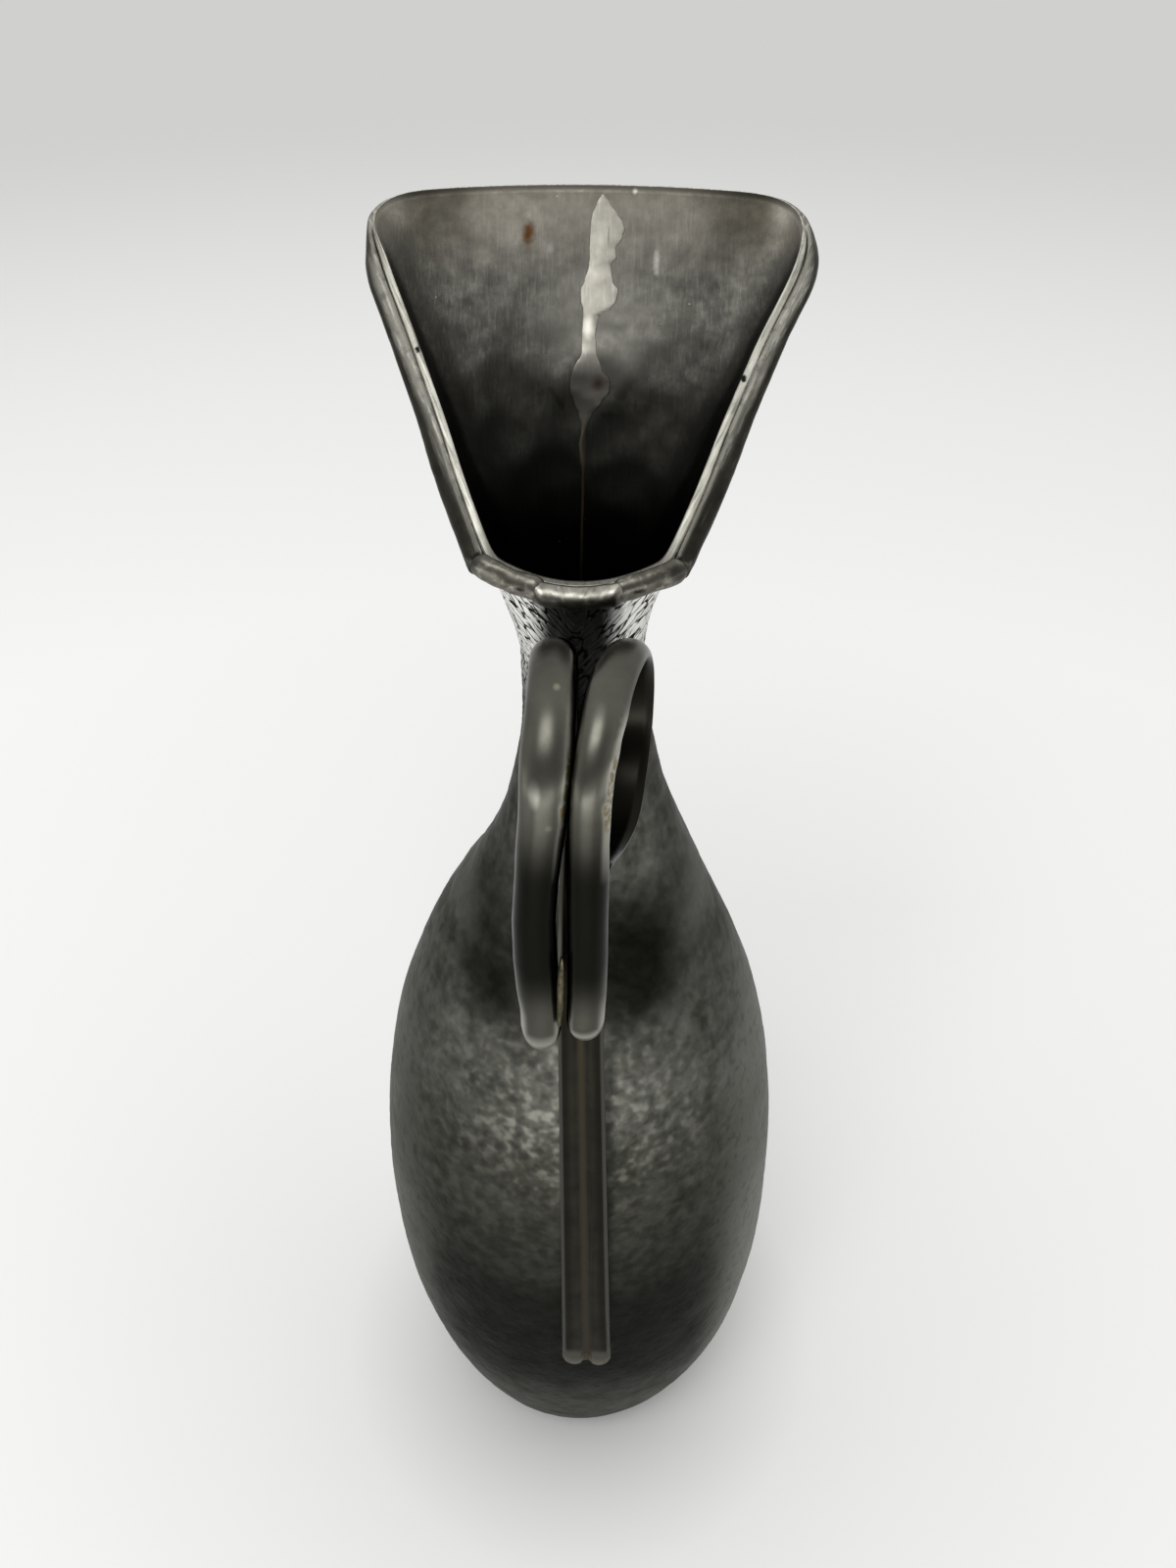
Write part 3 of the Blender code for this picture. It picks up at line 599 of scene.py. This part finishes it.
for vertex in run.data.vertices:
    slices.setdefault(round(vertex.co.z / MM), []).append(vertex.co.x / MM)
for vertex in run.data.vertices:
    z = vertex.co.z / MM
    level = int(z)
    near = [(min(slices[k]), max(slices[k])) for k in (level, level + 1) if k in slices]
    share = z - level if len(near) > 1 else 0
    left, right = [a + (b - a) * share for a, b in zip(near[0], near[-1])]
    new_left, new_right = between(run_edges, z)
    across = (vertex.co.x / MM - left) / max(narrowest, right - left)
    vertex.co.x = (new_left + (new_right - new_left) * across) * MM
    vertex.co.z += top_rise * MM * ramp(z, 290, 298.6)
for vertex in run.data.vertices:
    found, wall, outward, face = sheet.closest_point_on_mesh(vertex.co)
    lift = height_kept * (vertex.co - wall).length / MM - sunk
    vertex.co = wall + outward * lift * MM
run.data.update()

# Wiped solder: the brightest metal here, streaked the way it was wiped. The blob and the hairline below it
# were never wiped and have gone brown.
bright, tree, place, shader = pewter("wiped_solder_bright", "#7f7d74", "#908e85", 4, (0.36, 0.48))
z = in_mm(tree, place)[2]
wiped = add_node(
    tree, "ShaderNodeTexNoise",
    {"Vector": drawn_out(tree, place, wipe_lean, 5, 0.5), "Scale": 1.0, "Detail": 4.0},
).outputs["Fac"]
lay_over(tree, shader, "#aaa89f", (wiped, 0.5, 0.75, 0.4))
lay_over(tree, shader, "#2b2926", (z, 277, 272, 0.97))
lay_over(tree, shader, "#2b2619", (z, 269, 255, 0.9))
# A dark spot on the blob, a thin dark scratch, and a painted glint on the run's bright neck above the blob.
for colour, centre, size, soft, ragged in (
    ("#1d1411", (2.3, 24.6, 271.5), (2.0, 2.6, 2.0), 1.0, 0.1),
    ("#6b6962", (3.6, 37.8, 292.5), (0.2, 3, 2.2), 0.6, 0.3),
    ("#c3c1b6", (0.4, 29.8, 279.6), (1.6, 3, 2.6), 0.9, 0.3),
):
    lay_over(tree, shader, colour, spot(tree, place, centre, size, soft, ragged))
run.data.materials.append(bright)

# Rim. Half-round pewter wire soldered outside the mouth's edge, worn light where hands and cloths rub it,
# with a few dents and nicks. A shorter, thinner piece crosses the back.
# Worn wire: nearly black outside, light and streaked along the side that cloths reach, where the light is also a
# painted highlight on the faces turned up and in.
wear_and_sheen, tree, place, shader = pewter("worn_sheened_pewter_wire", "#24231f", "#393731", 4, (0.34, 0.46))
streaks = add_node(
    tree, "ShaderNodeTexNoise",
    {"Vector": drawn_out(tree, place, rim_lean, 7, 0.8), "Scale": 1.0, "Detail": 5.0, "Roughness": 0.65},
).outputs["Fac"]
mottle = add_node(
    tree, "ShaderNodeTexNoise", {"Vector": place, "Scale": 1 / (2.2 * MM), "Detail": 3.0},
).outputs["Fac"]
top = add_node(tree, "ShaderNodeAttribute", attribute_name="wear_and_sheen").outputs["Fac"]
lay_over(tree, shader, "#57554f", (streaks, 0.52, 0.7, 0.4))
lay_over(tree, shader, "#8f8d84", top)
lay_over(tree, shader, "#c6c4ba", top, (streaks, 0.5, 0.66, 0.8))
lay_over(tree, shader, "#33322e", (streaks, 0.44, 0.3, 0.5))
lay_over(tree, shader, "#5a5851", top, (mottle, 0.5, 0.3, 0.6))
for centre, size in nicks:
    lay_over(tree, shader, "#1d1c19", spot(tree, place, centre, size, soft=0.6, ragged=0.8))
bump = add_node(tree, "ShaderNodeBump", {"Height": streaks, "Strength": 0.5, "Distance": 0.12 * MM})
tree.links.new(bump.outputs[0], shader.inputs["Normal"])

lip_low_z = 256
wire_growth = 0.33
end_share, end_taper = 0.3, 3.0


def wire_relief(place, normal):
    """Grows the wire until it touches the sheet, with small dents that are deeper across the back."""
    across_back = 1 - ramp(place.z, 254, 257)
    return wire_growth + 0.05 * noise.noise(place / 5) + (0.05 + 0.12 * across_back) * noise.noise(place / 1.8)


def wear_and_sheen_share(place, normal):
    """1 where cloths wear it and a highlight is painted: the lip's inner side and the back wire's top; 0 on the outer
    side.
    """
    if place.z < lip_low_z:
        return ramp(normal.z, 0.1, 0.75)
    outward = Vector((place.x, place.y - max(0, place.z - neck_z) * spout_lean, 0)).normalized()
    return ramp(normal.z - normal.dot(outward), 0.1, 0.8)


for name, node in (("lip_wire", "lip_rim_wire"), ("back_wire", "back_rim_wire")):
    wire = from_solid(name, node, levels=2, crease=0.9)
    push(wire, wire_relief)
    put_out_of_true(wire)
    wear_and_sheen_layer = wire.data.attributes.new("wear_and_sheen", "FLOAT", "POINT")
    wear_and_sheen_layer.data.foreach_set("value", [wear_and_sheen_share(v.co / MM, v.normal) for v in wire.data.vertices])
    wire.data.materials.append(wear_and_sheen)
# The back wire's ends run out under the lumps of solder in the corners.
ends = [wire.bound_box[0][0], wire.bound_box[6][0]]
for vertex in wire.data.vertices:
    from_end = min(abs(vertex.co.x - end) for end in ends) / MM
    found, wall, outward, face = sheet.closest_point_on_mesh(vertex.co)
    vertex.co = wall + (vertex.co - wall) * (end_share + (1 - end_share) * ramp(from_end, 0, end_taper))

# Corners of the mouth. Solder was built up in lumps over the ends of the wires and left as it froze,
# with a pit in each where a bubble broke.
# Lumpy solder: mid grey with a lighter skin on the lumps, and dark at the outer ends. Each pit is a dark spot of
# painted shade.
lumpy, tree, place, shader = pewter("lumpy_solder_grey", "#4a4841", "#716e66", 2.5, (0.32, 0.46))
froze = add_node(
    tree, "ShaderNodeTexNoise", {"Vector": place, "Scale": 1 / (1.6 * MM), "Detail": 4.0},
).outputs["Fac"]
lay_over(tree, shader, "#99968c", (froze, 0.52, 0.68, 0.6))
pits = (((-8.8, -15.6, 253.0), (1.3, 1.2, 0.6)), ((10.1, -15.5, 252.9), (1.6, 1.2, 0.7)))
outer_ends = (((-17.6, -11.5, 255.4), (4, 4, 2.6)), ((16.2, -12.5, 254.6), (4, 4, 2.6)))
for centre, size in pits:
    lay_over(tree, shader, "#2b2925", spot(tree, place, centre, size, soft=0.8, ragged=0.3))
for centre, size in outer_ends:
    lay_over(tree, shader, "#3a3935", spot(tree, place, centre, size, soft=0.9, ragged=0.3))

lump_growth, lump_stretch = 0.6, 1.32


def lump_relief(place, normal):
    return lump_growth + 0.3 * noise.noise(place / 3.5) + 0.1 * noise.noise(place / 1.4)


for side in ("left", "right"):
    lump = from_solid("corner_lump_" + side, "corner_solder_" + side, levels=3, crease=0.2)
    push(lump, lump_relief)
    far_end = max((vertex.co.x for vertex in lump.data.vertices), key=abs)
    for vertex in lump.data.vertices:
        vertex.co.x = far_end + (vertex.co.x - far_end) * lump_stretch
    lump.data.materials.append(lumpy)

# Spine of the handle. A tapered strap of cast pewter with a groove down its back, soldered to belly and neck.
# Its face is dark olive with a painted reflection across it, darker on each reed and lighter beside the groove and
# along the edges, and a painted highlight on the foot. The groove has gone warm brown.
# Cast pewter under old patina: close to black and a little glossy, with faint lines drawn up and down.
olive, tree, place, shader = pewter("cast_pewter_olive_patina", "#201f1a", "#302e27", 6, (0.3, 0.42), "#cccccc")
z = in_mm(tree, place)[2]
drawn = add_node(
    tree, "ShaderNodeTexNoise",
    {"Vector": drawn_out(tree, place, (0, 0, 1), 14, 0.35), "Scale": 1.0, "Detail": 3.0},
).outputs["Fac"]
off_groove = add_node(tree, "ShaderNodeAttribute", attribute_name="off_middle").outputs["Fac"]
lay_over(tree, shader, "#35322a", (drawn, 0.5, 0.7, 0.4))
# Painted reflection across the reeds and along the edges, and a painted highlight on the foot.
lay_over(tree, shader, "#14130d", (off_groove, 0.45, 0.7, 0.6))
lay_over(tree, shader, "#3b3830", (off_groove, 0.24, 0.08, 0.7))
lay_over(tree, shader, "#3f3629", (off_groove, 0.1, 0.03, 0.6))
lay_over(tree, shader, "#4b4a45", (off_groove, 0.8, 0.9, 0.9))
lay_over(tree, shader, "#504e48", (z, 82, 79), (off_groove, 0.05, 0.3))

foot_low, foot_top = 74, 84
foot_rise, cleft_rise = 0.9, 2.4
slice_height = 12


def foot_edge(place, normal):
    return place.z < foot_top * MM


strap = from_solid("handle_strap", "handle_spine", levels=0)
strap.data.materials.append(olive)
rounding = strap.modifiers.new("rounding", "BEVEL")
rounding.width = 0.3 * MM
rounding.segments = 3
rounding.limit_method = "ANGLE"
rounding.angle_limit = math.radians(25)
bpy.ops.object.modifier_apply(modifier="rounding")
smoothing = strap.modifiers.new("smoothing", "SUBSURF")
smoothing.levels = smoothing.render_levels = 2
bpy.ops.object.modifier_apply(modifier="smoothing")
cut_long_edges(strap, longest=0.9, cuts=2, wanted=foot_edge)
strap_sides = {}
for vertex in strap.data.vertices:
    strap_sides.setdefault(round(vertex.co.z / MM / slice_height), []).append(vertex.co.x / MM)
shares = []
for vertex in strap.data.vertices:
    level = strap_sides[round(vertex.co.z / MM / slice_height)]
    middle, half = (min(level) + max(level)) / 2, (max(level) - min(level)) / 2
    shares.append(abs(vertex.co.x / MM - middle) / half)
strap.data.attributes.new("off_middle", "FLOAT", "POINT").data.foreach_set("value", shares)
# The foot ends in two round lobes with a cleft between them.
for vertex, share in zip(strap.data.vertices, shares):
    lobe = math.sin(math.pi * min(1, share))
    vertex.co.z += (foot_rise + cleft_rise * (1 - lobe)) * (1 - ramp(vertex.co.z / MM, foot_low, foot_top)) * MM


# Solder at the strap's two ends. It has flowed up against strap and body and set as a small fillet,
# and under the foot it has risen between the two lobes.
def fillet_relief(place, normal):
    return 0.5 + 0.12 * noise.noise(place / 1.6)


# Tarnished solder: dull and dark, in small blotches, so it hardly shows against the patina.
tarnished, tree, place, shader = pewter("tarnished_solder_dark", "#2a2925", "#4a4842", 2, (0.36, 0.5))
for name, node, rise in (
    ("strap_head_fillet", "spine_head_solder", 0),
    ("strap_foot_fillet", "spine_foot_solder", 2.2),
):
    fillet = from_solid(name, node, levels=2, crease=0.3)
    push(fillet, fillet_relief)
    for vertex in fillet.data.vertices:
        vertex.co.z += rise * MM
    fillet.data.materials.append(tarnished)

# Scrolls. Two half-round pewter strips bent over a former, each a curl, a stem and a loop, filed smooth
# and handled to a soft olive grey. Flux has dried as a yellow crust inside the loops.
loop_axis_y, loop_axis_z = -35.5, 235.8
loop_inside = 15.6
# Drawn pewter filed smooth: long soft highlights down the strips. The stems are painted black as a painted dark
# reflection; painted shade darkens the curls' bottoms, the loops' inner faces and tops, and the faces that look
# across at the other strip; a painted reflection makes the loops' borders and the curls' bottom edges light.
smooth, tree, place, shader = pewter("drawn_pewter_smooth", "#52514a", "#65645c", 9, (0.27, 0.38))
z = in_mm(tree, place)[2]
# Painted dark reflection down the stems, and painted shade round the curls' bottoms.
lay_over(tree, shader, "#080805", (z, 193, 210), (z, 248, 226, 0.97))
lay_over(tree, shader, "#3b3a35", (z, 207, 196, 0.8))
for colour, centre in (("#8a8979", (-1.5, -41.9, 252.3)), ("#504f48", (-2.2, -53.3, 235.9))):
    lay_over(tree, shader, colour, spot(tree, place, centre, (0.75, 0.9, 0.75), soft=0.8))
# A painted highlight on the left strip below its loop.
lay_over(tree, shader, "#8d8c83", spot(tree, place, (-4.2, -51.6, 240.8), (1.2, 2.6, 3.0), soft=1.0))
from_axis = add_node(
    tree, "ShaderNodeVectorMath", {0: place, 1: Vector((0, loop_axis_y, loop_axis_z)) * MM}, operation="SUBTRACT",
)
across = add_node(
    tree, "ShaderNodeVectorMath", {0: from_axis.outputs[0], 1: (0, 1 / MM, 1 / MM)}, operation="MULTIPLY",
)
reach = add_node(tree, "ShaderNodeVectorMath", {0: across.outputs[0]}, operation="LENGTH").outputs["Value"]
# Painted shade on the inner faces of the loops.
lay_over(tree, shader, "#1d1c18", (reach, loop_inside + 0.2, loop_inside - 0.2))
flux = add_node(
    tree, "ShaderNodeTexNoise", {"Vector": place, "Scale": 1 / (1.1 * MM), "Detail": 4.0},
).outputs["Fac"]
# Painted reflection: light along the loops' right borders and round the bottoms of the curls.
painted_edge_light = add_node(tree, "ShaderNodeAttribute", attribute_name="wear_and_sheen").outputs["Fac"]
lay_over(tree, shader, "#a3a298", painted_edge_light)
lay_over(tree, shader, "#6b6246", (painted_edge_light, 0.3, 0.6), (z, 233, 236), (z, 247, 244), (flux, 0.42, 0.56, 0.9))
# Painted shade on the faces that look across at the other strip and on the loops' far sides, which also shine less.
painted_shade = add_node(tree, "ShaderNodeAttribute", attribute_name="painted_shade").outputs["Fac"]
lay_over(tree, shader, "#0b0b09", painted_shade)
glance = add_node(tree, "ShaderNodeMix", {0: painted_shade, 6: linear("#ffffff"), 7: linear("#101010")}, data_type="RGBA")
tree.links.new(glance.outputs[2], shader.inputs["Specular Tint"])
# Painted shade over the tops of the loops.
lay_over(tree, shader, "#1f1e1a", (z, 250.5, 253.5, 0.25))


def strip_relief(place, normal):
    return 0.08 * noise.noise(place / 9) + 0.03 * noise.noise(place / 3)


# Height, then how far the left and the right edge of the stem stand off a straight one, all in mm.
bent = {
    "left": (
        (254, 0.3, 0.4), (249, 0.3, 0.8), (244, 0, 0.9), (237, 0, 0.4), (231, -0.25, -0.2), (225, -0.45, -0.8),
        (219, -0.83, -1.1), (213, -0.83, -0.83), (207, -0.3, -0.2), (200, 0.5, 0.3), (188, 0.7, 0.3),
    ),
    "right": (
        (254, -0.77, -0.77), (249, -0.6, -0.6), (246, -0.67, -1.0), (242, -0.87, -1.4), (237, -1.0, -1.55),
        (231, -0.88, -1.6), (225, -0.8, -1.45), (219, -0.57, -1.35), (207, -0.3, -0.9), (188, -0.2, -1.0),
    ),
}
seat_rise = {"left": -0.25, "right": 2.6}


def bend(strip, rows, rise):
    """Gives a straight strip the small waves of one bent by hand. The far side of the loop stays."""
    widths = {}
    for vertex in strip.data.vertices:
        widths.setdefault((vertex.co.y > loop_axis_y * MM, round(vertex.co.z / MM)), []).append(vertex.co.x)
    shares = []
    for vertex in strip.data.vertices:
        level = widths[vertex.co.y > loop_axis_y * MM, round(vertex.co.z / MM)]
        across = (vertex.co.x - min(level)) / max(1 * MM, max(level) - min(level))
        shares.append(across)
        left, right = between(rows, vertex.co.z / MM)
        near = ramp(-vertex.co.y / MM, 30, 44)
        vertex.co.x += (left + (right - left) * across) * near * MM
        vertex.co.z += rise * MM * (1 - ramp(vertex.co.z / MM, 190, 206))
    strip.data.update()
    return shares


def painted_shade_share(vertex, inward):
    """1 on the faces painted dark as shade: those that look across at the other strip, and the loop's far side."""
    far = ramp(vertex.co.y / MM, -33, -27)
    return 0.95 * ramp(vertex.normal.x * inward, 0.72 - 0.8 * far, 0.92 - 0.7 * far)


def painted_edge_light_share(vertex, across):
    """1 on the right border of the loops and round the bottom of the curls, which are painted light as a reflection."""
    z = vertex.co.z / MM
    near = ramp(-vertex.co.y / MM, 42, 46)
    border = 0.8 * ramp(across, 0.78, 0.92) * ramp(z, 226, 236) * near
    seat = max(ramp(abs(across - 0.5), 0.28, 0.46), ramp(-vertex.normal.z, -0.1, 0.4)) * (1 - ramp(z, 197, 207))
    return max(border, 0.8 * seat)


for side, inward in (("left", 1), ("right", -1)):
    strip = from_solid("scroll_strip_" + side, "scroll_" + side, levels=2, crease=0.6)
    push(strip, strip_relief)
    across = bend(strip, bent[side], seat_rise[side])
    points = strip.data.vertices
    painted_shade = strip.data.attributes.new("painted_shade", "FLOAT", "POINT")
    painted_shade.data.foreach_set("value", [painted_shade_share(v, inward) for v in points])
    wear_and_sheen_layer = strip.data.attributes.new("wear_and_sheen", "FLOAT", "POINT")
    wear_and_sheen_layer.data.foreach_set("value", [painted_edge_light_share(v, share) for v, share in zip(points, across)])
    strip.data.materials.append(smooth)


# Solder between the stems. A bead of soft solder, run in from behind, joins the two scrolls where their
# stems lie side by side, and was left rough.
def bead_relief(place, normal):
    return 0.15 * noise.noise(place / 1.5)


# Solder crust: yellowish grey in small spots, with hardly any shine.
bead_shift = 0.4
crust, tree, place, shader = pewter("rough_solder_crust", "#26241b", "#5c5845", 1.2, (0.4, 0.6))
bead = from_solid("stem_bead", "stem_solder", levels=3)
push(bead, bead_relief)
for vertex in bead.data.vertices:
    vertex.co.x -= bead_shift * MM
bead.data.materials.append(crust)
